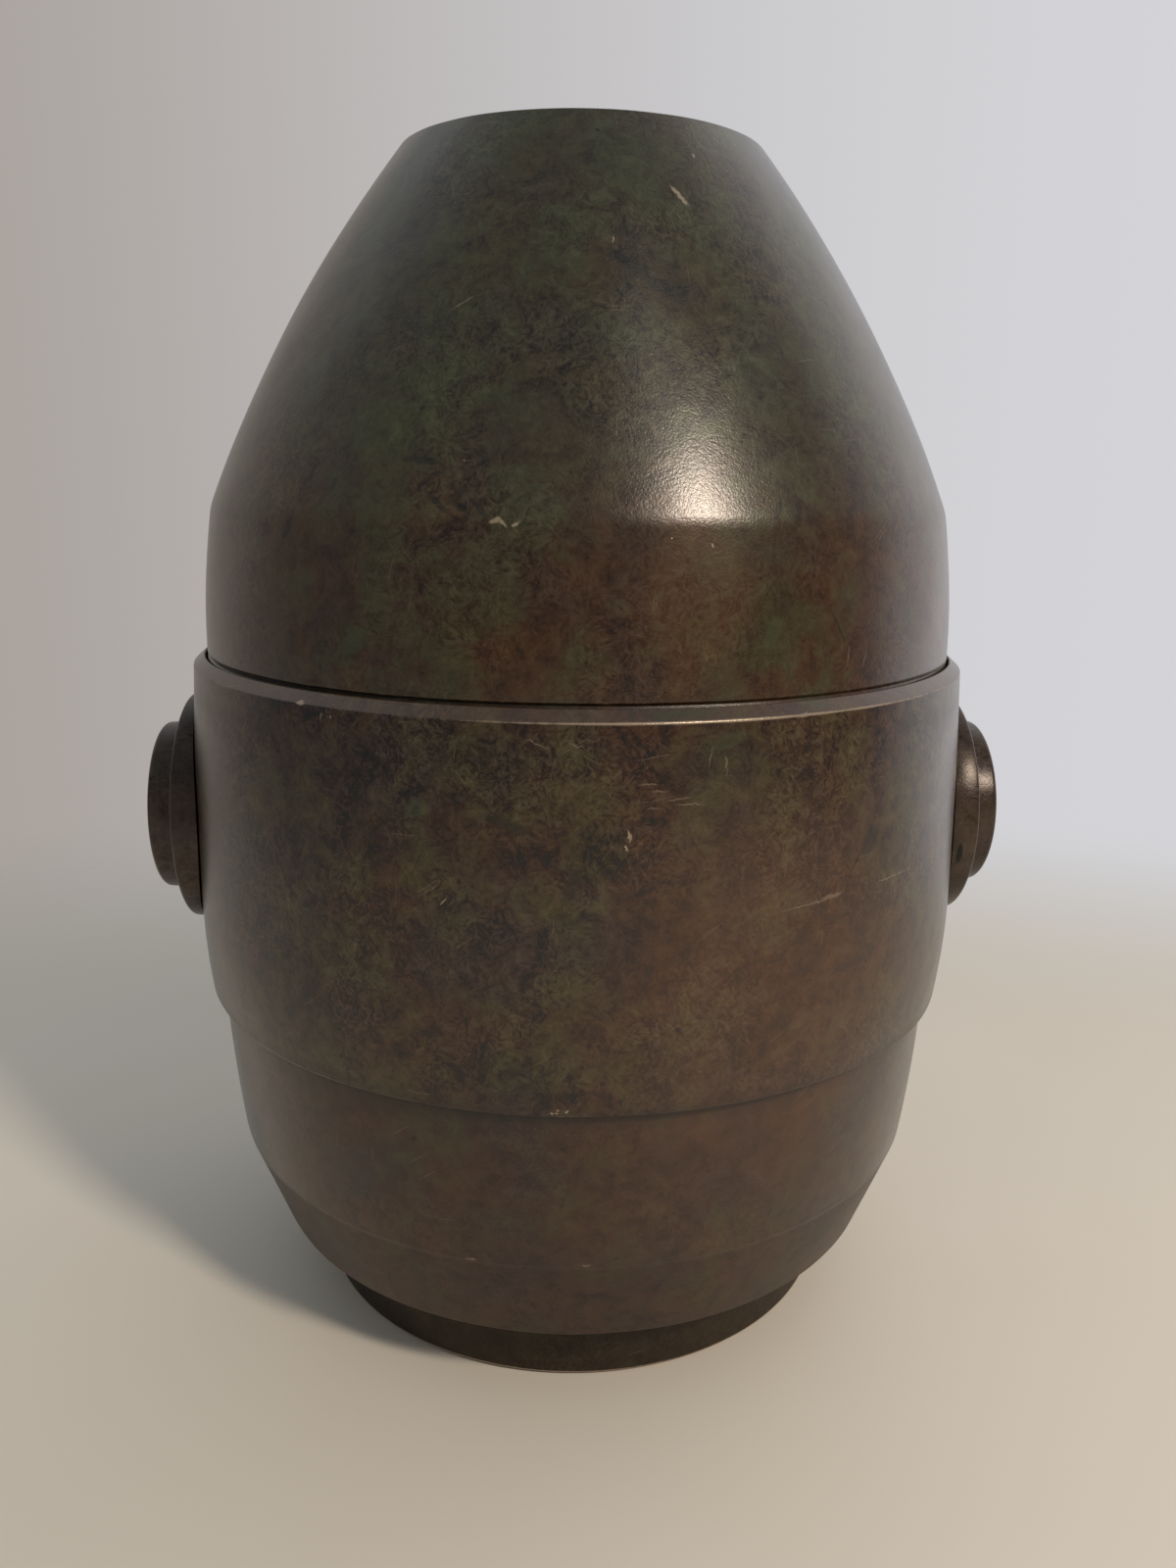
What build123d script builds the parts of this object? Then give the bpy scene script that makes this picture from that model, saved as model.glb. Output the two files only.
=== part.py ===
"""A two-part cast bronze vessel: a stepped round body with riveted disc lugs, and a lift-off upper section.

Millimetres, +Z up. The origin is the centre of the foot's resting face, and the lugs lie on the X axis.
"""

import os
from math import sqrt

from build123d import *

# Drum, the widest part of the body: its bevelled rim, its widest line and its lower edge
RIM_RADIUS = 85.0
BEVEL_WIDTH = 2.6
BEVEL_HEIGHT = 2.3
DRUM_HEIGHT = 71.7
BELLY_SWELL = 1.5
BELLY_RISE = 20.0
DRUM_TUCK = 1.4

# Tier and cone band under the drum, each stepped or tapered in from the one above
TIER_STEP = 2.4
TIER_HEIGHT = 34.4
TIER_TAPER = 2.8
TIER_SWELL = 0.45
CONE_HEIGHT = 21.0
CONE_TAPER = 7.9
CREASE_ROUND = 2.0
BASE_EDGE_ROUND = 0.5

# Inside of the body
BODY_WALL = 5.0
FLOOR_THICKNESS = 5.0
FLOOR_ROUND = 8.0
SOCKET_DEPTH = 8.0

# Foot ring, and the plate that closes the core hole
FOOT_STEP = 11.2
FOOT_HEIGHT = 18.8
FOOT_WALL = 7.5
FOOT_CHAMFER = 0.8
SPIGOT_DEPTH = 2.5
SPIGOT_WALL = 4.0
PLATE_THICKNESS = 2.5
PLATE_LEDGE = 5.0
SOLDER_GAP = 0.15

# Upper section
SOCKET_CLEARANCE = 0.4
UPPER_WALL = 3.5
SHOULDER_RISE = 30.3
SHOULDER_INSET = 2.45
SHOULDER_ROUND = 14.0
OGIVE_HEIGHT = 71.5
OGIVE_SWELL = 3.1
MOUTH_RADIUS = 38.2
LIP_ROUND = 0.6

# Lugs: a back disc and a boss, whose shank is peened over a rove inside the wall
DISC_RADIUS = 26.0
DISC_STAND = 2.1
DISC_ROUND = 1.4
BOSS_RADIUS = 19.2
BOSS_HEIGHT = 6.7
BOSS_ROUND = 1.2
SEAT_GAP = 0.2
SHANK_RADIUS = 4.0
SHANK_CLEARANCE = 0.15
ROVE_RADIUS = 9.5
ROVE_THICKNESS = 2.0
PEEN_RADIUS = 6.4
PEEN_HEIGHT = 2.4
PEEN_ROUND = 1.6

# Levels, from the table up
spigot_z = FOOT_HEIGHT - SPIGOT_DEPTH
plate_z = spigot_z + PLATE_THICKNESS
floor_z = FOOT_HEIGHT + FLOOR_THICKNESS
crease_z = FOOT_HEIGHT + CONE_HEIGHT
tier_z = crease_z + TIER_HEIGHT
belly_z = tier_z + BELLY_RISE
lug_z = tier_z + DRUM_HEIGHT / 2
bevel_z = tier_z + DRUM_HEIGHT
rim_z = bevel_z + BEVEL_HEIGHT
ledge_z = rim_z - SOCKET_DEPTH
shoulder_z = rim_z + SHOULDER_RISE
mouth_z = shoulder_z + OGIVE_HEIGHT

# Radii, from the rim down and from the foot inwards
belly_radius = RIM_RADIUS + BELLY_SWELL
drum_foot_radius = belly_radius - DRUM_TUCK
tier_radius = drum_foot_radius - TIER_STEP
crease_radius = tier_radius - TIER_TAPER
base_radius = crease_radius - CONE_TAPER
foot_radius = base_radius - FOOT_STEP
foot_bore = foot_radius - FOOT_WALL
spigot_radius = foot_bore - SOLDER_GAP
rabbet_radius = spigot_radius - SPIGOT_WALL
core_hole_radius = rabbet_radius - PLATE_LEDGE
socket_radius = RIM_RADIUS - BEVEL_WIDTH
skirt_radius = socket_radius - SOCKET_CLEARANCE
shoulder_radius = skirt_radius - SHOULDER_INSET
shank_hole_radius = SHANK_RADIUS + SHANK_CLEARANCE
floor_radius = base_radius + CONE_TAPER * FLOOR_THICKNESS / CONE_HEIGHT - BODY_WALL

# The drum's side at the lugs, on the arc that rises from its widest line to the rim
side_arc_radius = (BELLY_SWELL**2 + (bevel_z - belly_z) ** 2) / (2 * BELLY_SWELL)
lug_seat_radius = belly_radius - side_arc_radius + sqrt(side_arc_radius**2 - (lug_z - belly_z) ** 2)
bore_radius = lug_seat_radius - BODY_WALL

# Distances of the lugs' faces from the vessel's axis
disc_face = lug_seat_radius + DISC_STAND
rove_face = bore_radius - SEAT_GAP - ROVE_THICKNESS

os.makedirs("parts", exist_ok=True)


def finish(piece, name):
    """Labels a finished piece and writes it under that name."""
    piece.label = name
    export_step(piece, f"parts/{name}.step")


def draw_drum_side(growth=0):
    """Draws the drum's side, moved outwards by growth: two arcs that stand upright where they meet."""
    widest = (belly_radius + growth, belly_z)
    TangentArc(widest, (drum_foot_radius + growth, tier_z), tangent=(0, -1))
    TangentArc(widest, (RIM_RADIUS + growth, bevel_z), tangent=(0, 1))


def draw_bore_side(growth=0):
    """Draws the wall inside the drum, from the socket's ledge to the tier, moved outwards by growth."""
    ThreePointArc(
        (RIM_RADIUS - BODY_WALL + growth, ledge_z),
        (bore_radius + growth, lug_z),
        (tier_radius - BODY_WALL + growth, tier_z),
    )


# Foot ring: a turned ring that the body's spigot centres
with BuildPart() as foot_ring:
    with BuildSketch():
        Circle(foot_radius)
        Circle(foot_bore, mode=Mode.SUBTRACT)
    extrude(amount=FOOT_HEIGHT)
    chamfer(foot_ring.faces().sort_by(Axis.Z)[0].edges(), FOOT_CHAMFER)
finish(foot_ring.part, "foot_ring")

# Base plate: the disc let into the spigot to close the casting's core hole
with BuildPart() as base_plate:
    with BuildSketch(Plane.XY.offset(spigot_z)):
        Circle(rabbet_radius - SOLDER_GAP)
    extrude(amount=PLATE_THICKNESS)
finish(base_plate.part, "base_plate")

# Body: one turned casting with a core hole in its floor and a socket in its rim for the upper section
with BuildPart() as lower_body:
    with BuildSketch(Plane.XZ) as body_section:
        with BuildLine():
            Polyline(
                (core_hole_radius, plate_z),
                (rabbet_radius, plate_z),
                (rabbet_radius, spigot_z),
                (spigot_radius, spigot_z),
                (spigot_radius, FOOT_HEIGHT),
                (base_radius, FOOT_HEIGHT),
                (crease_radius, crease_z),
            )
            SagittaArc((crease_radius, crease_z), (tier_radius, tier_z), -TIER_SWELL)
            Line((tier_radius, tier_z), (drum_foot_radius, tier_z))
            draw_drum_side()
            Polyline(
                (RIM_RADIUS, bevel_z),
                (socket_radius, rim_z),
                (socket_radius, ledge_z),
                (RIM_RADIUS - BODY_WALL, ledge_z),
            )
            draw_bore_side()
            Polyline(
                (tier_radius - BODY_WALL, tier_z),
                (crease_radius - BODY_WALL, crease_z),
                (floor_radius, floor_z),
                (core_hole_radius, floor_z),
                (core_hole_radius, plate_z),
            )
        make_face()
        fillet(body_section.vertices().sort_by_distance((floor_radius, floor_z))[0], FLOOR_ROUND)
        fillet(body_section.vertices().sort_by_distance((crease_radius, crease_z))[0], CREASE_ROUND)
        fillet(body_section.vertices().sort_by_distance((base_radius, FOOT_HEIGHT))[0], BASE_EDGE_ROUND)
    revolve(axis=Axis.Z)
    with BuildSketch(Plane.YZ):
        with Locations((0, lug_z)):
            Circle(shank_hole_radius)
    extrude(amount=belly_radius, both=True, mode=Mode.SUBTRACT)
finish(lower_body.part, "lower_body")

# Upper section: a shelled ogive, open at the mouth, whose plain skirt stands in the body's socket
with BuildPart() as upper_section:
    with BuildSketch(Plane.XZ) as upper_half:
        with BuildLine():
            Polyline((0, mouth_z), (0, ledge_z), (skirt_radius, ledge_z), (skirt_radius, rim_z))
            TangentArc((skirt_radius, rim_z), (shoulder_radius, shoulder_z), tangent=(0, 1))
            SagittaArc((shoulder_radius, shoulder_z), (MOUTH_RADIUS, mouth_z), -OGIVE_SWELL)
            Line((MOUTH_RADIUS, mouth_z), (0, mouth_z))
        make_face()
        fillet(upper_half.vertices().sort_by_distance((shoulder_radius, shoulder_z))[0], SHOULDER_ROUND)
    revolve(axis=Axis.Z)
    offset(amount=-UPPER_WALL, openings=upper_section.faces().filter_by(GeomType.PLANE))
    fillet(upper_section.faces().sort_by(Axis.Z)[-1].edges(), LIP_ROUND)
finish(upper_section.part, "upper_section")

# Cores with the drum's outside and inside, which the lugs' saddles are cut to
with BuildPart() as drum_core:
    with BuildSketch(Plane.XZ):
        with BuildLine():
            draw_drum_side(SEAT_GAP)
            Polyline(
                (RIM_RADIUS + SEAT_GAP, bevel_z),
                (0, bevel_z),
                (0, tier_z),
                (drum_foot_radius + SEAT_GAP, tier_z),
            )
        make_face()
    revolve(axis=Axis.Z)
with BuildPart() as bore_core:
    with BuildSketch(Plane.XZ):
        with BuildLine():
            draw_bore_side(-SEAT_GAP)
            Polyline(
                (RIM_RADIUS - BODY_WALL - SEAT_GAP, ledge_z),
                (0, ledge_z),
                (0, tier_z),
                (tier_radius - BODY_WALL - SEAT_GAP, tier_z),
            )
        make_face()
    revolve(axis=Axis.Z)

# Lugs: saddled back disc outside the wall, boss on its face, rove inside
for side, outward in (("left", -1), ("right", 1)):
    lug_plane = Plane(origin=(0, 0, lug_z), x_dir=(0, outward, 0), z_dir=(outward, 0, 0))
    lug_axis = Axis((0, 0, lug_z), (outward, 0, 0))

    with BuildPart() as lug_disc:
        with BuildSketch(lug_plane):
            Circle(DISC_RADIUS)
        extrude(amount=disc_face)
        fillet(lug_disc.faces().sort_by(lug_axis)[-1].edges(), DISC_ROUND)
        with BuildSketch(lug_plane):
            Circle(shank_hole_radius)
        extrude(amount=disc_face, mode=Mode.SUBTRACT)
        add(drum_core.part, mode=Mode.SUBTRACT)
    finish(lug_disc.part, f"{side}_lug_disc")

    with BuildPart() as lug_boss:
        with BuildSketch(lug_plane.offset(disc_face)):
            Circle(BOSS_RADIUS)
        extrude(amount=BOSS_HEIGHT)
        fillet(lug_boss.faces().sort_by(lug_axis)[-1].edges(), BOSS_ROUND)
        with BuildSketch(lug_plane.offset(rove_face - PEEN_HEIGHT)):
            Circle(PEEN_RADIUS)
        extrude(amount=PEEN_HEIGHT)
        fillet(lug_boss.faces().sort_by(lug_axis)[0].edges(), PEEN_ROUND)
        with BuildSketch(lug_plane.offset(rove_face)):
            Circle(SHANK_RADIUS)
        extrude(amount=disc_face - rove_face)
    finish(lug_boss.part, f"{side}_lug_boss")

    with BuildPart() as lug_rove:
        with BuildSketch(lug_plane.offset(rove_face)):
            Circle(ROVE_RADIUS)
            Circle(shank_hole_radius, mode=Mode.SUBTRACT)
        extrude(amount=ROVE_THICKNESS)
        add(bore_core.part, mode=Mode.INTERSECT)
    finish(lug_rove.part, f"{side}_lug_rove")
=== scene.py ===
"""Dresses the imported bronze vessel: turned castings with rounded edges, riveted lugs and a mottled patina.

Shapes are worked out in millimetres and put into the mesh in metres. Azimuth is counted from the front to the
right, and height from the table up.
"""

import math

import bpy
import numpy as np
from mathutils import Matrix, Vector


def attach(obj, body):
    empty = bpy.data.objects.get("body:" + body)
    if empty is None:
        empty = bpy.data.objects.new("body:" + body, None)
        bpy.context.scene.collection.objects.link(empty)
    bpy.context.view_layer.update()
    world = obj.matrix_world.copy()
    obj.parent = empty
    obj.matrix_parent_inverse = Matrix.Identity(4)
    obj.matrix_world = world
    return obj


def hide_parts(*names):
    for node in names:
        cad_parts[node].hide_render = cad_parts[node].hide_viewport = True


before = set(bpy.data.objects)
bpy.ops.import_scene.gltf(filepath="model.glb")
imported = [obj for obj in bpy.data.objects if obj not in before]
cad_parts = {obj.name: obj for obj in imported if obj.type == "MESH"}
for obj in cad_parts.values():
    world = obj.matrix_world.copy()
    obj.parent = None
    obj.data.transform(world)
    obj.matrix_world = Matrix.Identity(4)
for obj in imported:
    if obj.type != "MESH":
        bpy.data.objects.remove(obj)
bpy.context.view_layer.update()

MM = 0.001

# Levels and radii of the body, as in the part's source
FOOT_RADIUS = 60.8
FOOT_BORE = 53.3
FOOT_TOP = 18.8
FOOT_CHAMFER = 0.8
SPIGOT_RADIUS = 53.15
SPIGOT_FOOT = 16.3
RABBET_RADIUS = 49.15
CORE_HOLE_RADIUS = 44.15
PLATE_RADIUS = 49.0
BASE_RADIUS = 72.0
FLOOR_RADIUS = 68.88
FLOOR_TOP = 23.8
CREASE_RADIUS = 79.9
CREASE_LEVEL = 39.8
TIER_RADIUS = 82.7
TIER_TOP = 74.2
TIER_BOW = 0.45
DRUM_FOOT_RADIUS = 85.1
BELLY_RADIUS = 86.5
BELLY_LEVEL = 94.2
RIM_RADIUS = 85.0
BEVEL_FOOT = 145.9
RIM_LEVEL = 148.2
SOCKET_RADIUS = 82.4
LEDGE_LEVEL = 140.2
BODY_WALL = 5.0
BORE_BOW = 2.42

# Upper section, with the quirk that is turned round its side just above the rim
SKIRT_RADIUS = 82.0
QUIRK_FOOT = 147.6
QUIRK_LEVEL = 148.2
QUIRK_TOP = 148.75
QUIRK_DEPTH = 0.75
SHOULDER_RADIUS = 79.55
SHOULDER_LEVEL = 178.5
SHOULDER_ROUND = 14.0
SIDE_ARC_RADIUS = 188.6
MOUTH_RADIUS = 38.2
MOUTH_LEVEL = 250.0
OGIVE_BOW = 3.1
UPPER_WALL = 3.5
MOUTH_BORE = 33.72
INNER_SHOULDER_RADIUS = 76.16
INNER_SHOULDER_LEVEL = 177.57
INNER_OGIVE_BOW = 3.24

# Lugs, along the X axis
LUG_LEVEL = 110.05
DISC_RADIUS = 26.0
DISC_FACE = 88.46
DISC_ROUND = 0.8
BOSS_RADIUS = 19.2
BOSS_FACE = 95.159
BOSS_ROUND = 1.2
SHANK_RADIUS = 4.0
SHANK_HOLE = 4.15
ROVE_RADIUS = 9.5
ROVE_FACE = 79.16
PEEN_RADIUS = 6.4
PEEN_END = 76.76
SEAT_GAP = 0.2
SIDE_RADIUS_AT_LUG = 86.36

# Steps round each piece
CASTING_COLUMNS = 276
FOOT_COLUMNS = 240
PLATE_COLUMNS = 180
DISC_COLUMNS = 160
BOSS_COLUMNS = 144
ROVE_COLUMNS = 96

# Rows of a profile: on long runs, near corners and on rounds, and the least step between two
ROW_SPACING = 2.6
ROWS_NEAR_CORNER = (0.25, 0.6, 1.2, 2.2)
ARC_STEP = math.radians(12)
ARC_SPACING = 1.4
LEAST_STEP = 0.12

# Turn that makes a corner sharp, and how far edge wear and the painted shade in hollows reach from such a
# corner
SHARP_TURN = math.radians(20)
WEAR_REACH = 0.32
SHADE_REACH = 0.9


def bow_from_upright(start, end):
    """Rise of an arc from start to end that stands upright at one of its ends: half the chord times the
    tangent of half its lean."""
    across, up = abs(end[0] - start[0]), abs(end[1] - start[1])
    return math.hypot(across, up) / 2 * math.tan(math.atan2(across, up) / 2)


def turned(vector, angle):
    """A flat vector turned anticlockwise by angle; angle may be an array."""
    c, s = np.cos(angle), np.sin(angle)
    return np.stack([vector[0] * c - vector[1] * s, vector[0] * s + vector[1] * c], -1)


def unit(vectors):
    return vectors / np.linalg.norm(vectors, axis=-1, keepdims=True)


class Run:
    """One run of a profile, straight or a circular arc that rises by bow over the middle of its chord.

    A place on it is the chord's middle plus R sin a along the chord and R (cos a - cos h) across it. Here h
    is half the arc's angle and a goes from -h to h. The normal there is the chord's normal turned by a.
    """

    def __init__(self, start, end, bow):
        start, end = np.array(start, float), np.array(end, float)
        self.chord = np.linalg.norm(end - start)
        self.middle = (start + end) / 2
        self.along = (end - start) / self.chord
        self.across = np.array([self.along[1], -self.along[0]])
        self.half = 2 * math.atan(2 * bow / self.chord)
        self.radius = self.chord / (2 * math.sin(self.half)) if bow else 0.0
        self.length = 2 * self.radius * self.half if bow else self.chord

    def normal(self, share):
        return turned(self.across, self.half * (2 * np.asarray(share, float) - 1))

    def place(self, share):
        share = np.asarray(share, float)
        if not self.radius:
            return self.middle + np.multiply.outer((share - 0.5) * self.chord, self.along)
        angle = self.half * (2 * share - 1)
        along = np.multiply.outer(self.radius * np.sin(angle), self.along)
        across = np.multiply.outer(self.radius * (np.cos(angle) - math.cos(self.half)), self.across)
        return self.middle + along + across


class Profile:
    """A turned profile through corners of (radius, height, round, bow of the run that follows).

    The outside is on the right of the way round. Each corner is an arc tangent to both its runs, and each run
    has rows close to its ends and evenly spaced between. A profile that starts on the axis ends there too,
    any other is a ring. Rows carry their place, normal, run and nearness to a convex or a hollow corner.
    """

    def __init__(self, corners, shade_reach=SHADE_REACH):
        count = len(corners)
        closed = corners[0][0] > 0
        last = count if closed else count - 1
        runs = [
            Run(corners[i][:2], corners[(i + 1) % count][:2], (*corners[i], 0.0)[3]) for i in range(last)
        ]
        trims, turns = np.zeros(count), np.zeros(count)
        for i in range(count) if closed else range(1, count - 1):
            before, after = runs[i - 1].normal(1.0), runs[i].normal(0.0)
            turns[i] = math.atan2(before[0] * after[1] - before[1] * after[0], before @ after)
            trims[i] = corners[i][2] * math.tan(abs(turns[i]) / 2)
        rows = []
        for i in range(last):
            if trims[i] > 0:
                before, inward = runs[i - 1].normal(1.0), math.copysign(1.0, turns[i])
                start = runs[i - 1].place(1.0) - trims[i] * turned(before, math.pi / 2)
                centre = start - inward * corners[i][2] * before
                steps = max(abs(turns[i]) / ARC_STEP, corners[i][2] * abs(turns[i]) / ARC_SPACING)
                fan = turned(before, turns[i] * np.linspace(0, 1, int(steps) + 3)[1:-1])
                rows.append((centre + inward * corners[i][2] * fan, fan, np.full(len(fan), i)))
            run, after = runs[i], (i + 1) % count
            free = run.length - trims[i] - trims[after]
            inner = np.arange(1, int(free / ROW_SPACING)) * free / max(1, int(free / ROW_SPACING))
            near = np.array([x for x in ROWS_NEAR_CORNER if x < free / 3])
            steps = np.unique(np.concatenate([[0.0, free], near, free - near, inner]).round(4))
            steps = steps[np.concatenate([[True], np.diff(steps) > LEAST_STEP])]
            share = (trims[i] + steps) / run.length
            if trims[i] == 0 and i > 0:
                share = share[1:]
            rows.append((run.place(share), run.normal(share), np.full(len(share), i)))
        self.place, self.normal, self.owner = (np.concatenate(part) for part in zip(*rows))
        self.closed = closed
        at = np.array([corner[:2] for corner in corners], float)
        apart = np.linalg.norm(self.place[:, None] - at[None], axis=2)
        self.edge = self.nearness(apart[:, turns > SHARP_TURN], WEAR_REACH)
        self.hollow = self.nearness(apart[:, turns < -SHARP_TURN], shade_reach)

    @staticmethod
    def nearness(apart, reach):
        """1 at the nearest corner, fading as a bell curve over the reach."""
        if not apart.shape[1]:
            return np.zeros(len(apart))
        return np.exp(-((apart.min(1) / reach) ** 2))


def add_object(name, data):
    """Puts a mesh, a lamp or a camera into the scene."""
    added = bpy.data.objects.new(name, data)
    bpy.context.scene.collection.objects.link(added)
    return added


def make_piece(name, places, normals, quads, fans, finishes, finish_of_quad=None, **weights):
    """A smooth mesh object from whole arrays: places in metres, a normal for each vertex, faces of four
    corners and faces of three."""
    mesh = bpy.data.meshes.new(name)
    mesh.from_pydata(places.tolist(), [], quads.tolist() + fans.tolist(), shade_flat=False)
    for finish in finishes:
        mesh.materials.append(finish)
    if finish_of_quad is not None:
        mesh.polygons.foreach_set("material_index", finish_of_quad.astype(np.int32))
    for weight, values in weights.items():
        layer = mesh.attributes.new(weight, "FLOAT", "POINT")
        layer.data.foreach_set("value", values.astype(np.float32).ravel())
    mesh.normals_split_custom_set_from_vertices(normals.tolist())
    return add_object(name, mesh)


def grid_faces(rows, columns, poles):
    """Faces of a grid that closes round its columns. Without poles it closes round its rows too. With poles
    its first and last rows are single vertices, each joined to its neighbouring row by a fan of triangles."""
    inner = rows - 2 if poles else rows
    number = int(poles) + np.arange(inner * columns).reshape(inner, columns)
    after, above = np.roll(number, -1, 1), np.roll(number, -1, 0)
    quads = np.stack([number, after, np.roll(above, -1, 1), above], -1)
    if not poles:
        return quads.reshape(-1, 4), np.zeros((0, 3), int)
    bottom_fan = np.stack([after[0], number[0], np.zeros(columns, int)], -1)
    top_fan = np.stack([number[-1], after[-1], np.full(columns, inner * columns + 1)], -1)
    return quads[:-1].reshape(-1, 4), np.concatenate([bottom_fan, top_fan])


def around_z(radius, height, azimuth):
    """A point of a turned piece: radius times (sin, -cos) of the azimuth, at its height."""
    return np.stack([radius * np.sin(azimuth), -radius * np.cos(azimuth), height], -1)


def around_lug(side):
    """The same about a lug's axis, which points out along X on the right (side 1) and along -X on the left
    (side -1)."""

    def place(radius, height, azimuth):
        return np.stack([side * height, side * radius * np.sin(azimuth), -radius * np.cos(azimuth)], -1)

    return place


def turn_piece(
    name, profile, columns, finishes, place=around_z, centre=(0, 0, 0), finish_of_run=None, shape=None
):
    """Carries a profile round its axis: rows are the profile's, columns are even steps of azimuth. shape, if
    given, changes the whole grid of places, normals and nearness to corners."""
    azimuth = np.linspace(-math.pi, math.pi, columns, endpoint=False)[None, :]
    edge = profile.edge[:, None] + 0 * azimuth
    hollow = profile.hollow[:, None] + 0 * azimuth
    places = place(*(profile.place.T[..., None] + 0 * azimuth), azimuth)
    normals = place(*(profile.normal.T[..., None] + 0 * azimuth), azimuth)
    if shape:
        places, normals, edge, hollow = shape(profile, azimuth, places, normals, edge, hollow)
    places = (places + np.array(centre)) * MM
    poles = not profile.closed
    quads, fans = grid_faces(len(profile.place), columns, poles)
    of_quad = None
    if finish_of_run is not None:
        of_quad = np.repeat(finish_of_run[profile.owner], columns)

    def flat(grid):
        """The grid as one list of vertices, with a pole's row as one vertex."""
        listed = grid.reshape(-1, *grid.shape[2:])
        return listed[columns - 1 : len(listed) - columns + 1] if poles else listed

    return make_piece(
        name, flat(places), flat(normals), quads, fans, finishes, of_quad,
        edge=flat(edge), hollow=flat(hollow),
    )


# Map that a large turned piece is baked through, the edge left round its bands and the share of hidden walls
BAKE_MAP = "OFBake"
MAP_EDGE = 0.003
INSIDE_SHARE = 0.35


def lay_map(piece, profile, columns, inside_from):
    """Lays out a closed turned piece in two bands, its front half below its back half. The azimuth runs along
    a band and the length of the profile up it, where the walls from run inside_from on count for less."""
    share = np.where(profile.owner < inside_from, 1.0, INSIDE_SHARE)
    step = np.linalg.norm(np.roll(profile.place, -1, 0) - profile.place, axis=1) * share
    height = np.concatenate([[0.0], np.cumsum(step)]) / step.sum()
    half = columns // 2
    column = (np.arange(columns) - columns // 4) % columns
    start, band = (column % half)[None, :, None], (column // half)[None, :, None]
    low, high = height[:-1, None, None], height[1:, None, None]
    inner = 1 - 2 * MAP_EDGE
    along = MAP_EDGE + inner * (start + np.array([0, 1, 1, 0])) / half
    up = (band + MAP_EDGE + inner * (low + (high - low) * np.array([0, 0, 1, 1]))) / 2
    laid_out = np.stack(np.broadcast_arrays(along, up), -1)
    layer = piece.data.uv_layers.new(name=BAKE_MAP)
    layer.uv.foreach_set("vector", laid_out.astype(np.float32).ravel())


def finish_piece(piece, body, node):
    """Lets a piece ride on its body and stand for its node."""
    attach(piece, body)
    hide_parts(node)


def shade(red, green, blue):
    """A colour as it looks on a screen, from 0 to 255, as the linear colour that a shader takes."""
    screen = np.array([red, green, blue]) / 255
    linear = np.where(screen <= 0.04045, screen / 12.92, ((screen + 0.055) / 1.055) ** 2.4)
    return (*linear.tolist(), 1.0)


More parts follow.
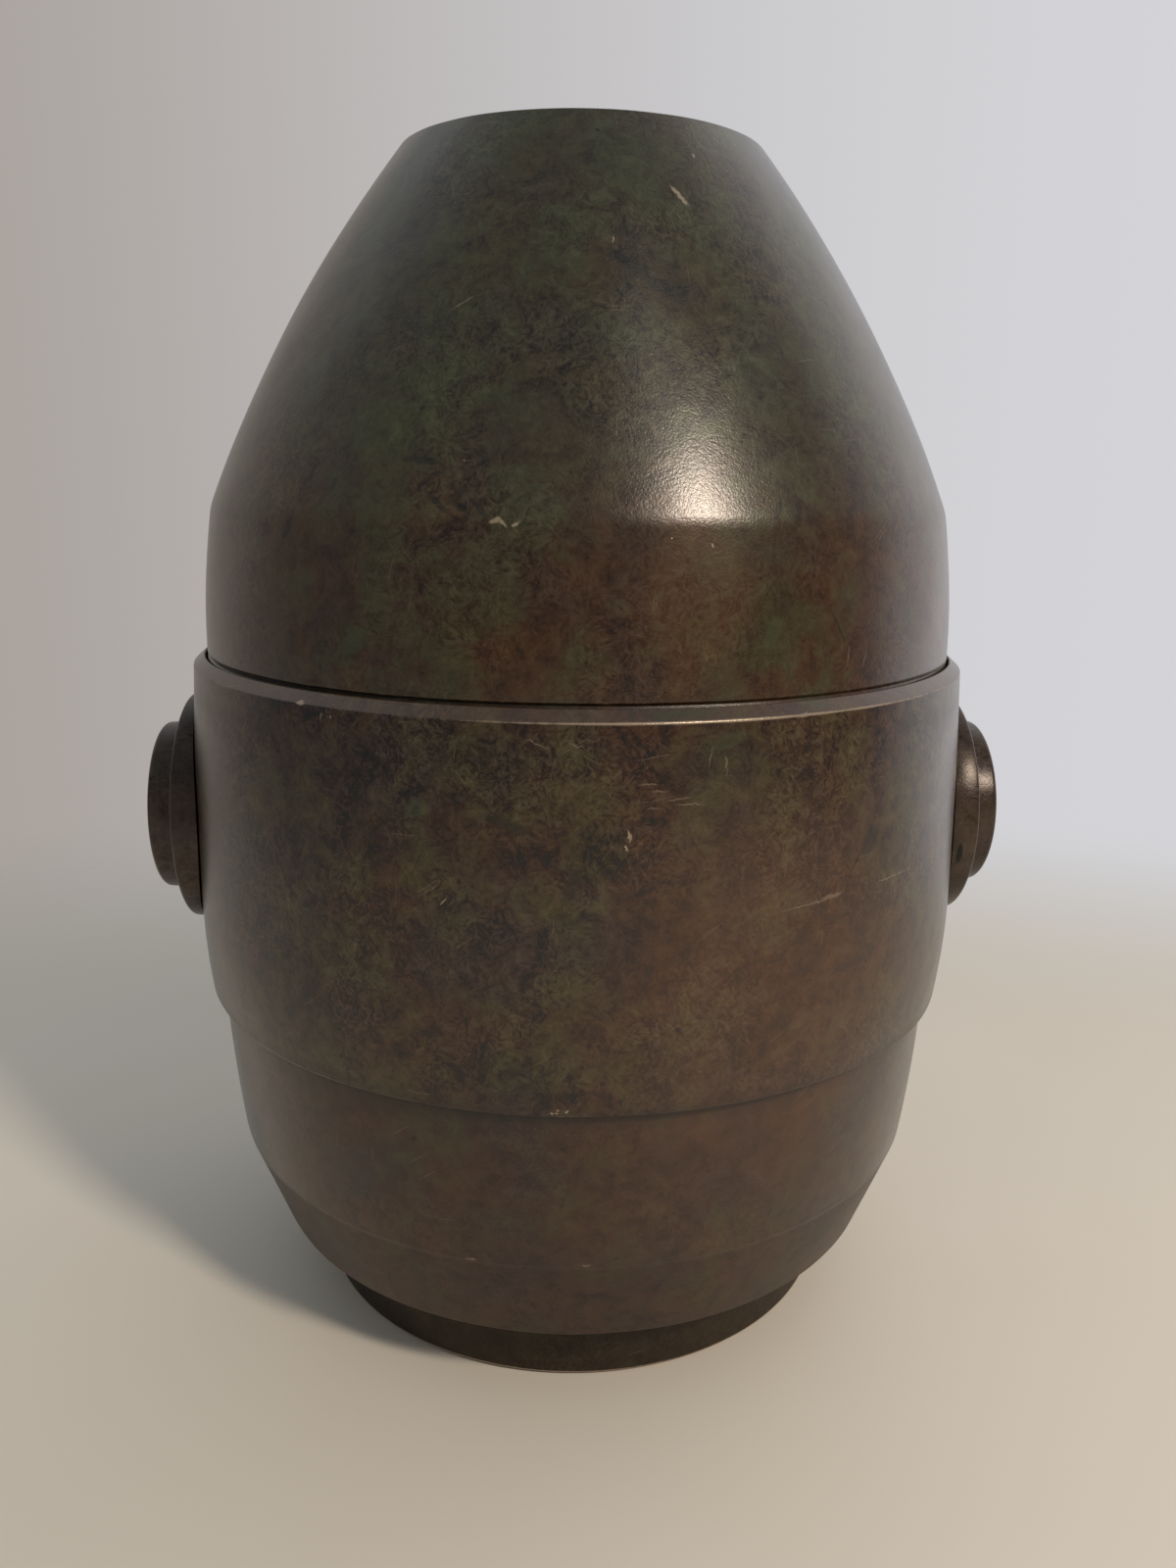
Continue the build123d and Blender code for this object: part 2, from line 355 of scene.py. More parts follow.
class Wiring:
    """Adds nodes to a tree. Each input is a number, a colour or another node's output, and most calls return
    an output."""

    def __init__(self, tree):
        self.tree = tree

    def fill(self, node, inputs):
        """Sets a node's inputs to plain values, or joins them to other nodes' outputs."""
        for key, value in inputs.items():
            if isinstance(value, bpy.types.NodeSocket):
                self.tree.links.new(value, node.inputs[key])
            else:
                node.inputs[key].default_value = value

    def node(self, kind, inputs, **settings):
        made = self.tree.nodes.new(kind)
        for name, value in settings.items():
            setattr(made, name, value)
        self.fill(made, inputs)
        return made

    def math(self, operation, *values, clamp=False):
        made = self.node("ShaderNodeMath", dict(enumerate(values)), operation=operation, use_clamp=clamp)
        return made.outputs[0]

    def total(self, first, *others):
        for other in others:
            first = self.math("ADD", first, other)
        return first

    def times(self, first, *others):
        for other in others:
            first = self.math("MULTIPLY", first, other)
        return first

    def weighted(self, *pairs):
        """Sum of values, each times its weight."""
        return self.total(*[self.times(value, weight) for value, weight in pairs])

    def less(self, value, share):
        """One minus a share of value."""
        return self.math("SUBTRACT", 1.0, self.times(value, share))

    def hypot(self, x, y):
        return self.math("SQRT", self.total(self.times(x, x), self.times(y, y)))

    def ease(self, value, low, high, to_low=0.0, to_high=1.0):
        """Smooth step of value from low to high, put out from to_low to to_high."""
        inputs = {0: value, 1: low, 2: high, 3: to_low, 4: to_high}
        return self.node("ShaderNodeMapRange", inputs, interpolation_type="SMOOTHSTEP").outputs[0]

    def mix(self, share, first, second, blend="MIX"):
        made = self.node("ShaderNodeMix", {0: share, 6: first, 7: second}, data_type="RGBA", blend_type=blend)
        return made.outputs[2]

    def lay(self, over, mask, colour):
        """Lays a colour over another one where a mask is, by the share of it that shows."""
        tint, share = over
        return self.mix(self.math("MULTIPLY", mask, share, clamp=True), colour, tint)

    def vector(self, operation, *values):
        return self.node("ShaderNodeVectorMath", dict(enumerate(values)), operation=operation).outputs[0]

    def scaled(self, vector, by):
        return self.node("ShaderNodeVectorMath", {0: vector, "Scale": by}, operation="SCALE").outputs[0]

    def mapped(self, vector, middle=(0.0, 0.0, 0.0), turn=(0.0, 0.0, 0.0), scale=(1.0, 1.0, 1.0)):
        """A place as counted from a middle, along turned axes, in steps of scale."""
        inputs = {"Vector": vector, "Location": middle, "Rotation": turn, "Scale": scale}
        return self.node("ShaderNodeMapping", inputs, vector_type="TEXTURE").outputs[0]

    def from_half(self, value):
        return self.math("SUBTRACT", value, 0.5)

    def noise(self, place, size, detail=2.0, roughness=0.5, distortion=0.0, colour=False):
        """Noise whose blobs are about size millimetres across, around one half."""
        inputs = {"Vector": place, "Scale": 1 / size, "Detail": detail, "Roughness": roughness}
        made = self.node("ShaderNodeTexNoise", {**inputs, "Distortion": distortion})
        return made.outputs[1 if colour else 0]

    def cells(self, place, size, dimensions="3D"):
        """Distance to the nearest of scattered points, one in each size millimetres, and that point's own
        random colour."""
        inputs = {"Vector": place, "Scale": 1 / size}
        made = self.node("ShaderNodeTexVoronoi", inputs, voronoi_dimensions=dimensions)
        return made.outputs["Distance"], made.outputs["Color"]

    def attribute(self, name):
        return self.node("ShaderNodeAttribute", {}, attribute_name=name).outputs["Fac"]

    def parts(self, vector):
        return self.node("ShaderNodeSeparateXYZ", {0: vector}).outputs

    def joined(self, x, y, z):
        return self.node("ShaderNodeCombineXYZ", {0: x, 1: y, 2: z}).outputs[0]

    def group(self, group, **inputs):
        return self.node("ShaderNodeGroup", inputs, node_tree=group).outputs


VALUE, VECTOR, COLOUR = "NodeSocketFloat", "NodeSocketVector", "NodeSocketColor"


def shader_group(function):
    """Turns a function into a shader node group of its name. The function takes the wiring and the inputs,
    each noted with its kind, and returns the outputs, which are named after its arrow."""
    tree = bpy.data.node_groups.new(function.__name__, "ShaderNodeTree")
    inputs = dict(function.__annotations__)
    outputs = inputs.pop("return")
    for way, sockets in (("INPUT", inputs), ("OUTPUT", outputs)):
        for name, kind in sockets.items():
            tree.interface.new_socket(name, in_out=way, socket_type=kind)
    given = tree.nodes.new("NodeGroupInput").outputs
    results = function(Wiring(tree), *[given[name] for name in inputs])
    put_out = tree.nodes.new("NodeGroupOutput").inputs
    for name, socket in zip(outputs, results):
        tree.links.new(socket, put_out[name])
    return tree


def new_material(name):
    """A material with its wiring, its surface shader and the place on the piece in millimetres."""
    material = bpy.data.materials.new(name)
    material.use_nodes = True
    w = Wiring(material.node_tree)
    surface = material.node_tree.nodes["Principled BSDF"]
    return material, w, surface, w.scaled(w.node("ShaderNodeTexCoord", {}).outputs["Object"], 1 / MM)


# Sponged patina: sizes of its parts in millimetres, steps aside that keep one noise from following another,
# and how strongly the fine parts lift the colour
STIR_SIZE = 7.0
STIR_REACH = 5.0
CLOUD_SIZE = 14.0
GREY_CLOUD_SIZE = 21.0
BLOTCH_SIZE = 4.2
DAB_SIZE = 1.7
CALM_SIZE = 24.0
STROKE_SIZES = (2.2, 0.5, 1.0)
STROKE_LEANS = (1.1, -0.8)
STROKE_STIR = 9.0
CLOUD_STEP = (90.0, 40.0, 10.0)
BLOTCH_STEP = (11.0, 53.0, 70.0)
CALM_STEP = (31.0, 8.0, 64.0)
DAB_LIFT = 0.012
LEAST_LEVEL = 0.2
LEAST_COLOUR = (0.003, 0.003, 0.003)


@shader_group
def sponged_patina(
    w, place: VECTOR, wrapped: VECTOR, brown: COLOUR, olive: COLOUR, violet: COLOUR, olive_share: VALUE,
    violet_share: VALUE, olive_push: VALUE, violet_push: VALUE, contrast: VALUE, busy: VALUE,
) -> {"colour": COLOUR, "cloud": VALUE, "dabs": VALUE, "strokes": VALUE}:
    """Drifting clouds of three colours, broken up by blotches, fibrous dabs and wiped strokes.

    Each is a noise of its own size, on places that a slower noise has stirred. The strokes are long noises on
    the wrapped wall, leaning to either side. Clouds and blotches deepen the colour, dabs and strokes half of
    that and half a neutral lift. Dabs and strokes are busy in some areas and calm in others.
    """
    stir = w.vector("SUBTRACT", w.noise(place, STIR_SIZE, colour=True), (0.5, 0.5, 0.5))
    stirred = w.vector("ADD", place, w.scaled(stir, STIR_REACH))
    cloud = w.noise(stirred, CLOUD_SIZE, 3.0, 0.6)
    grey_cloud = w.noise(w.vector("ADD", stirred, CLOUD_STEP), GREY_CLOUD_SIZE, 3.0, 0.6)
    blotch = w.from_half(w.noise(w.vector("ADD", stirred, BLOTCH_STEP), BLOTCH_SIZE, 3.0, 0.65))
    dabs = w.noise(stirred, DAB_SIZE, 4.0, 0.7, 1.4)
    slow = w.noise(w.vector("ADD", place, CALM_STEP), CALM_SIZE)
    busy = w.times(w.ease(slow, 0.4, 0.62, 0.5, 1.35), busy)
    ragged = w.times(w.from_half(dabs), busy)
    wiped = w.vector("ADD", wrapped, w.scaled(stir, STROKE_STIR))
    leaning = [w.mapped(wiped, turn=(0.0, 0.0, lean), scale=STROKE_SIZES) for lean in STROKE_LEANS]
    strokes = w.times(busy, w.total(*[w.from_half(w.noise(along, 1.0)) for along in leaning]))
    greened = w.total(cloud, olive_push, w.weighted((blotch, 0.5), (ragged, 0.24), (strokes, 0.1)))
    greyed = w.total(grey_cloud, violet_push, w.weighted((blotch, 0.4), (ragged, -0.2)))
    colour = w.mix(w.times(w.ease(greyed, 0.42, 0.64), violet_share), brown, violet)
    colour = w.mix(w.times(w.ease(greened, 0.4, 0.66), olive_share), colour, olive)
    broad = w.weighted((w.from_half(cloud), 2.3), (blotch, 3.8))
    fine = w.weighted((ragged, 5.6), (strokes, 1.8))
    uneven = w.times(w.total(broad, w.times(fine, 0.5)), contrast)
    level = w.math("MAXIMUM", w.total(uneven, 1.0), LEAST_LEVEL)
    lift = w.times(fine, contrast, DAB_LIFT)
    colour = w.mix(1.0, colour, w.joined(level, level, level), "MULTIPLY")
    colour = w.vector("MAXIMUM", w.vector("ADD", colour, w.joined(lift, lift, lift)), LEAST_COLOUR)
    return colour, cloud, dabs, strokes


RAG_SIZE = 0.8
RAG_REACH = 0.9


@shader_group
def wrapped_places(w, place: VECTOR) -> {"wrapped": VECTOR, "ragged": VECTOR}:
    """Places on a turned wall: millimetres round it from the front, at the rim's radius, and millimetres up.
    The ragged ones are moved a little by a fine noise."""
    x, y, z = w.parts(place)
    around = w.times(w.math("ARCTAN2", x, w.times(y, -1.0)), RIM_RADIUS)
    shift = w.times(w.from_half(w.noise(place, RAG_SIZE)), RAG_REACH)
    return w.joined(around, z, 0.0), w.joined(w.total(around, shift), w.total(z, shift), 0.0)


@shader_group
def scar(w, wrapped: VECTOR, middle: VECTOR, turn: VECTOR, half_sizes: VECTOR) -> {"far": VALUE}:
    """One scar: how far a place is from its middle, where 1 is the edge of an oval of its half sizes."""
    oval = w.mapped(wrapped, middle, turn, half_sizes)
    return (w.node("ShaderNodeVectorMath", {0: oval}, operation="LENGTH").outputs["Value"],)


# Hair scratches: turn and length of each way they run, their spacing, how far and how slowly they bend, the
# step aside from one way to the next and the distances between which a streak fades
SCRATCH_WAYS = ((0.05, 44.0), (1.45, 28.0), (0.6, 36.0))
SCRATCH_SPACING = 0.7
SCRATCH_BEND = 2.2
SCRATCH_BEND_SIZE = 9.0
SCRATCH_STEP = 300.0
SCRATCH_FADE = (0.03, 0.11)


@shader_group
def hair_scratches(w, wrapped: VECTOR, place: VECTOR, kept: VALUE) -> {"mask": VALUE}:
    """Hair scratches: stretched cells on the wrapped wall, a few of which are kept, each a thin streak."""
    bend = w.times(w.from_half(w.noise(place, SCRATCH_BEND_SIZE, 1.0)), SCRATCH_BEND)
    bent = w.vector("ADD", wrapped, w.joined(bend, bend, 0.0))
    mask = 0.0
    for turn, length in SCRATCH_WAYS:
        middle = (SCRATCH_STEP * turn, 0.0, 0.0)
        streaks = w.mapped(bent, middle, (0.0, 0.0, turn), (length, SCRATCH_SPACING, 1.0))
        distance, own = w.cells(streaks, 1.0, "2D")
        chosen = w.math("LESS_THAN", w.parts(own)[0], kept)
        mask = w.math("MAXIMUM", mask, w.times(w.ease(distance, *SCRATCH_FADE, 1.0, 0.0), chosen))
    return (mask,)


SPECK_SPACING = 3.4


@shader_group
def specks(w, place: VECTOR, kept: VALUE, size: VALUE) -> {"mask": VALUE}:
    """Specks: small discs round scattered points, a few of which are kept."""
    distance, own = w.cells(place, SPECK_SPACING)
    red, green, _ = w.parts(own)
    reach = w.times(size, w.total(w.times(green, 0.8), 0.4))
    inside = w.ease(w.math("DIVIDE", distance, reach), 0.6, 1.0, 1.0, 0.0)
    return (w.times(inside, w.math("LESS_THAN", red, kept)),)


SLOW_WEAR_SIZE = 6.0
FINE_WEAR_SIZE = 0.9


@shader_group
def rubbed_edges(w, place: VECTOR, edge: VALUE, amount: VALUE) -> {"mask": VALUE}:
    """Rubbed edges: nearness to a corner, broken up by a slow and a fine noise."""
    slow = w.from_half(w.noise(place, SLOW_WEAR_SIZE, 3.0))
    fine = w.from_half(w.noise(place, FINE_WEAR_SIZE))
    broken = w.total(amount, w.weighted((slow, 0.9), (fine, 0.7)))
    return (w.ease(w.times(edge, broken), 0.35, 0.85),)


# Scars and patches, as azimuth in degrees, height, turn in degrees, half length and half width. Chips and
# lines are bare, broad olives and violets are where the patina leans to that colour, and the warm patches
# are painted reflections of warm light, on the lit right of the drum and below the ogive's highlight
DRUM_SCARS = {
    "chips": (
        (2.9, 126.9, 100, 1.4, 0.34), (2.5, 124.7, 112, 0.7, 0.26), (-18.4, 114.2, 50, 1.0, 0.17),
        (24.2, 145.8, 4, 1.6, 0.4), (-38.4, 146.0, 3, 1.3, 0.5), (-5.7, 75.1, 0, 0.4, 0.3),
        (-5.2, 75.0, 0, 0.35, 0.3), (-5.0, 75.7, 30, 0.3, 0.3), (-4.0, 75.3, 30, 0.4, 0.3),
    ),
    "lines": (
        (26.5, 111.5, 4, 8.5, 0.22), (29.5, 112.1, 3, 3.2, 0.5), (41.0, 112.4, 1, 8.0, 0.16),
        (5.0, 135.6, 2, 2.2, 0.18), (6.4, 134.4, -6, 1.8, 0.16), (8.6, 133.0, 7, 3.0, 0.17),
        (9.8, 131.9, -3, 3.4, 0.18), (5.6, 131.4, 0, 1.5, 0.16), (12.2, 139.8, 80, 2.2, 0.14),
        (14.1, 138.6, 97, 2.6, 0.14), (-17.2, 39.9, 0, 1.5, 0.5), (-1.3, 40.2, 5, 1.1, 0.35),
        (-7.5, 142.4, -22, 2.6, 0.2), (-3.0, 142.2, -16, 2.2, 0.16), (-34.9, 144.3, 75, 0.9, 0.4),
    ),
    "greens": (
        (-21.6, 130.2, 20, 3.4, 2.2), (14.5, 142.5, 15, 4.5, 1.6), (9.0, 147.1, 2, 8.0, 1.2),
        (27.0, 147.1, -2, 4.2, 0.9),
    ),
    "darks": ((-11.0, 128.5, -20, 6.0, 1.6), (-3.5, 118.0, 70, 4.0, 1.8), (36.0, 121.0, 60, 4.5, 2.6)),
    "olives": (
        (-40.0, 98.0, 80, 17.0, 11.0), (-1.0, 124.0, 20, 9.0, 6.0), (38.0, 112.0, 80, 14.0, 6.0),
        (-12.0, 82.0, 0, 16.0, 6.0),
    ),
    "violets": (
        (-24.0, 137.0, 4, 30.0, 10.0), (-17.0, 107.0, 60, 12.0, 7.0), (14.0, 136.0, 0, 14.0, 8.0),
        (48.0, 128.0, 90, 14.0, 8.0), (12.0, 90.0, 0, 18.0, 7.0),
    ),
    "warm_reflections": ((24.0, 93.0, 90, 53.0, 42.0),),
}
OGIVE_SCARS = {
    "chips": (
        (17.0, 233.8, -38, 3.4, 0.7), (24.0, 242.0, 0, 0.6, 0.45), (2.5, 225.0, 90, 0.6, 0.3),
        (-13.0, 178.3, 18, 1.3, 0.5), (-12.1, 177.9, -42, 1.2, 0.42), (-10.6, 177.7, 24, 0.9, 0.4),
        (12.9, 174.5, 0, 0.4, 0.35),
    ),
    "lines": ((-22.0, 214.0, 24, 4.0, 0.2), (33.0, 155.0, 84, 2.4, 0.18), (36.0, 153.8, 70, 2.0, 0.16)),
    "greens": ((-31.4, 157.3, 40, 4.0, 2.4), (21.0, 160.0, 70, 4.0, 2.0)),
    "darks": (
        (22.2, 180.3, 60, 2.4, 0.8), (25.2, 180.4, 80, 2.6, 0.9), (-23.5, 187.7, -4, 5.5, 0.9),
        (-20.5, 181.0, -35, 3.5, 0.7), (-15.0, 180.0, -40, 3.0, 0.6), (31.0, 160.3, -58, 4.4, 0.45),
    ),
    "olives": ((20.0, 160.0, 60, 12.0, 8.0), (-33.0, 158.0, 30, 11.0, 6.0)),
    "violets": ((-24.0, 172.0, 0, 26.0, 8.0), (4.0, 160.0, 90, 12.0, 8.0), (24.0, 208.0, 60, 14.0, 8.0)),
    "warm_reflections": ((11.0, 166.0, 90, 17.0, 15.0),),
}
FAR_FROM_SCARS = 9.0
SCAR_FADE = (0.45, 1.0)


def place_scars(w, scars, wrapped):
    """One mask for all the scars: the nearest one's oval, faded at its edge."""
    far = FAR_FROM_SCARS
    for azimuth, height, turn, half_length, half_width in scars:
        found = w.group(
            scar, wrapped=wrapped, middle=(math.radians(azimuth) * RIM_RADIUS, height, 0.0),
            turn=(0.0, 0.0, math.radians(turn)), half_sizes=(half_length, half_width, 1.0),
        )["far"]
        far = w.math("MINIMUM", far, found)
    return w.ease(far, *SCAR_FADE, 1.0, 0.0)


# How far patches and the calm lower walls push the patina towards olive or violet
OLIVE_PUSH = 0.12
VIOLET_PUSH = 0.14
CALM_PUSH = -0.03

# What lies over the sponged patina: its colour, and how much of it shows
# Painted warm reflection, laid flat over the patina
WARM_REFLECTION = (shade(112, 73, 42), 0.21)
# Painted reflection along the bevel, paler and greyer
BEVEL_REFLECTION = (shade(108, 90, 80), 0.36)
DARK_SPECK = (shade(14, 11, 9), 0.7)
DARK_SCAR = (shade(18, 15, 13), 0.6)
GREEN_SCAR = (shade(64, 74, 50), 0.4)
# Painted shade laid into hollow corners, gaps and grooves
HOLLOW_SHADE = (shade(9, 7, 6), 0.85)

# Bare metal, and how much of it each kind of wear lays open
BARE_METAL = shade(196, 176, 154)
HAIRS_BARED = 0.16
SPECKS_BARED = 0.6
LINES_BARED = 0.2
CHIPS_BARED = 0.58
EDGES_BARED = 0.6
PALE_SPECK_STEP = (57.0, 23.0, 5.0)

# Gloss of the patina and of the wax on it
PATINA_ROUGHNESS = 0.32
PATINA_METAL = 0.2
PATINA_IOR = 1.45
WAX_WEIGHT = 0.5
WAX_ROUGHNESS = 0.22


def make_patina(
    name, brown, olive, violet, olive_share, violet_share, contrast, scars=None, wear=1.0,
    roughness=PATINA_ROUGHNESS, wax=WAX_WEIGHT, drift=None, calming=None, dulling=None, band=None, shaded_gap=None,
):
    """A patinated, waxed finish: sponged colours, specks, scratches and scars, dark hollows and rubbed edges.

    Below the height calming it is less mottled, below dulling less waxed and less polished, and above the
    height band it is painted paler and greyer as a painted reflection. The dark hollows are painted shade,
    and the warm patches are painted reflections. drift is two heights, between which the brown turns to
    another colour, and that colour's share. The last argument is the middle and half sizes of one narrow gap,
    painted dark as shade.
    """
    material, w, surface, place = new_material(name)
    wall = w.group(wrapped_places, place=place)
    hollow = w.attribute("hollow")
    height = w.parts(place)[2]

    def marked(kind, places=wall["ragged"]):
        return place_scars(w, scars[kind], places)

    if drift:
        start, end, other_brown, share = drift
        brown = w.mix(w.ease(height, start, end, 0.0, share), brown, other_brown)
    busy, pushes = 1.0, {}
    if scars:
        pushes["olive_push"] = w.times(marked("olives"), OLIVE_PUSH)
        pushes["violet_push"] = w.times(marked("violets"), VIOLET_PUSH)
    if calming:
        calm = w.ease(height, calming - 0.5, calming + 0.5, 1.0, 0.0)
        busy = w.less(calm, 0.5)
        contrast = w.times(w.less(calm, 0.4), contrast)
        pushes["olive_push"] = w.total(pushes["olive_push"], w.times(calm, CALM_PUSH))
    mottle = w.group(
        sponged_patina, place=place, wrapped=wall["wrapped"], brown=brown, olive=olive, violet=violet,
        olive_share=olive_share, violet_share=violet_share, contrast=contrast, busy=busy, **pushes,
    )
    colour = mottle["colour"]
    if scars:
        # Painted warm reflections: a flat warm veil on the drum's lit right and under the ogive's highlight
        colour = w.lay(WARM_REFLECTION, marked("warm_reflections", wall["wrapped"]), colour)
    if band:
        # Painted reflection: above the band's height the bevel is laid paler and greyer
        colour = w.lay(BEVEL_REFLECTION, w.ease(height, band, band + 0.2), colour)
    colour = w.lay(DARK_SPECK, w.group(specks, place=place, kept=0.16, size=0.16)["mask"], colour)
    hairs = w.group(hair_scratches, wrapped=wall["wrapped"], place=place, kept=0.014)["mask"]
    aside = w.vector("ADD", place, PALE_SPECK_STEP)
    pale_specks = w.group(specks, place=aside, kept=0.012, size=0.06)["mask"]
    rubbed = w.group(rubbed_edges, place=place, edge=w.attribute("edge"), amount=wear)["mask"]
    bared = [(hairs, HAIRS_BARED), (pale_specks, SPECKS_BARED), (rubbed, EDGES_BARED)]
    if scars:
        colour = w.lay(DARK_SCAR, marked("darks"), colour)
        colour = w.lay(GREEN_SCAR, marked("greens"), colour)
        bared += [(marked("lines"), LINES_BARED), (marked("chips"), CHIPS_BARED)]
    bare = 0.0
    for mask, share in bared:
        bare = w.math("MAXIMUM", bare, w.times(mask, share))
    uneven = w.weighted((w.from_half(mottle["dabs"]), 0.2), (w.from_half(mottle["cloud"]), 0.14))
    rough = w.total(roughness, uneven, w.times(hollow, 0.25))
    if dulling:
        dull = w.ease(height, dulling - 1.5, dulling + 1.0, 1.0, 0.0)
        rough = w.total(rough, w.times(dull, 0.2))
        wax = w.times(w.less(dull, 0.6), wax)
    # Painted shade in a narrow gap behind the right lug's disc, added to the hollows
    if shaded_gap:
        found = w.group(scar, wrapped=place, middle=shaded_gap[0], half_sizes=shaded_gap[1])["far"]
        hollow = w.math("MAXIMUM", hollow, w.ease(found, 0.7, 1.0, 1.2, 0.0))
    # Painted shade in the hollows, then bare metal where it is worn through
    colour = w.mix(bare, w.lay(HOLLOW_SHADE, hollow, colour), BARE_METAL)
    fine = w.noise(place, 0.42, 2.0, 0.6)
    relief = w.weighted((mottle["dabs"], 0.5), (fine, 0.7), (mottle["strokes"], 0.2), (bare, -0.4))
    bump = w.node("ShaderNodeBump", {"Strength": 0.5, "Distance": 0.1 * MM, "Height": relief}).outputs[0]
    w.fill(surface, {
        "Base Color": colour, "Roughness": rough, "Metallic": w.total(w.times(bare, 0.5), PATINA_METAL),
        "IOR": PATINA_IOR, "Normal": bump,
        "Coat Weight": wax, "Coat Roughness": WAX_ROUGHNESS, "Coat Normal": bump,
    })
    return material


def make_bare_bronze(name):
    """Bare cast bronze where the patina was never laid on: brown gold, cloudy, with fine turning rings."""
    material, w, surface, place = new_material(name)
    x, y, z = w.parts(place)
    rings = w.noise(w.joined(w.hypot(x, y), 0.0, z), 0.9)
    wrapped = w.group(wrapped_places, place=place)["wrapped"]
    mottle = w.group(
        sponged_patina, place=place, wrapped=wrapped, brown=shade(92, 70, 46), olive=shade(78, 74, 50),
        violet=shade(70, 56, 46), olive_share=0.5, violet_share=0.5, contrast=0.4, busy=1.0,
    )
    colour = w.mix(w.times(rings, 0.25), mottle["colour"], shade(120, 92, 58))
    # Painted shade in the hollow corners of the bare walls
    colour = w.mix(w.times(w.attribute("hollow"), 0.6), colour, shade(24, 19, 14))
    rough = w.total(0.42, w.times(w.from_half(mottle["cloud"]), 0.2))
    relief = w.weighted((rings, 0.5), (mottle["dabs"], 0.4))
    bump = w.node("ShaderNodeBump", {"Strength": 0.4, "Distance": 0.06 * MM, "Height": relief}).outputs[0]
    w.fill(surface, {"Base Color": colour, "Roughness": rough, "Metallic": 0.75, "Normal": bump})
    return material


OGIVE_OLIVE = shade(46, 51, 30)
# The drum's patina paints a reflection along the bevel and warm reflections on its lit right
drum_patina = make_patina(
    "drum_patina", shade(61, 37, 21), shade(49, 46, 23), shade(46, 35, 35), 0.7, 0.65, 1.0, DRUM_SCARS,
    wax=0.45, drift=(104.0, 72.0, shade(68, 43, 27), 0.7), calming=TIER_TOP, dulling=CREASE_LEVEL,
    band=BEVEL_FOOT,
)
ogive_patina = make_patina(
    "ogive_patina", shade(69, 43, 22), OGIVE_OLIVE, shade(47, 40, 37), 0.65, 0.4, 0.62, OGIVE_SCARS,
    wear=0.3, drift=(166.0, 196.0, OGIVE_OLIVE, 0.55),
)
foot_patina = make_patina(
    "foot_patina", shade(48, 36, 23), shade(47, 42, 26), shade(42, 34, 29), 0.6, 0.4, 0.4,
    roughness=0.5, wax=0.0,
)
# The lug patina's last argument paints shade into the gap behind the right disc, beside the wall
lug_patina = make_patina(
    "lug_patina", shade(66, 50, 40), shade(64, 58, 42), shade(62, 50, 52), 0.5, 0.6, 0.5,
    wear=0.0, roughness=0.31, wax=0.0, shaded_gap=((84.6, -25.2, 104.2), (0.8, 2.0, 3.0)),
)
bare_bronze = make_bare_bronze("bare_bronze")

# Body casting: outside from the spigot up to the rim, then the socket, the bore and the floor
DRUM_FOOT_BOW = bow_from_upright((DRUM_FOOT_RADIUS, TIER_TOP), (BELLY_RADIUS, BELLY_LEVEL))
DRUM_BOW = bow_from_upright((BELLY_RADIUS, BELLY_LEVEL), (RIM_RADIUS, BEVEL_FOOT))
BODY_CORNERS = (
    (SPIGOT_RADIUS, SPIGOT_FOOT, 0.2),
    (SPIGOT_RADIUS, FOOT_TOP, 0.1),
    (BASE_RADIUS, FOOT_TOP, 0.5),
    (CREASE_RADIUS, CREASE_LEVEL, 2.0, TIER_BOW),
    (TIER_RADIUS, TIER_TOP, 0.35),
    (DRUM_FOOT_RADIUS, TIER_TOP, 0.4, DRUM_FOOT_BOW),
    (BELLY_RADIUS, BELLY_LEVEL, 0.0, DRUM_BOW),
    (RIM_RADIUS, BEVEL_FOOT, 0.35),
    (SOCKET_RADIUS, RIM_LEVEL, 0.25),
    (SOCKET_RADIUS, LEDGE_LEVEL, 0.2),
    (RIM_RADIUS - BODY_WALL, LEDGE_LEVEL, 0.3, -BORE_BOW),
    (TIER_RADIUS - BODY_WALL, TIER_TOP, 3.0),
    (CREASE_RADIUS - BODY_WALL, CREASE_LEVEL, 3.0),
    (FLOOR_RADIUS, FLOOR_TOP, 8.0),
    (CORE_HOLE_RADIUS, FLOOR_TOP, 0.4),
    (CORE_HOLE_RADIUS, FOOT_TOP, 0.2),
    (RABBET_RADIUS, FOOT_TOP, 0.1),
    (RABBET_RADIUS, SPIGOT_FOOT, 0.2),
)
BODY_INSIDE_FROM = 8
# The painted shade in the body's hollows reaches far, darkening the tier's top below the drum's lip
BODY_SHADE_REACH = 2.3

# Hand finishing left slow waves in the walls: waves round the vessel, waves up each millimetre, phase, depth
WAVES = (
    (11, 0.13, 0.4, 0.030),
    (-17, 0.21, 1.9, 0.022),
    (5, -0.17, 3.1, 0.026),
    (23, -0.08, 5.0, 0.016),
)
# Dents in the ogive, as azimuth in degrees, height, half width, half height and depth
DENTS = (
    (18.5, 215.6, 4.6, 4.0, 0.16),
    (18.9, 201.5, 2.0, 1.4, 0.09),
    (-58.0, 205.0, 5.0, 4.0, 0.12),
    (150.0, 192.0, 6.0, 4.0, 0.14),
)


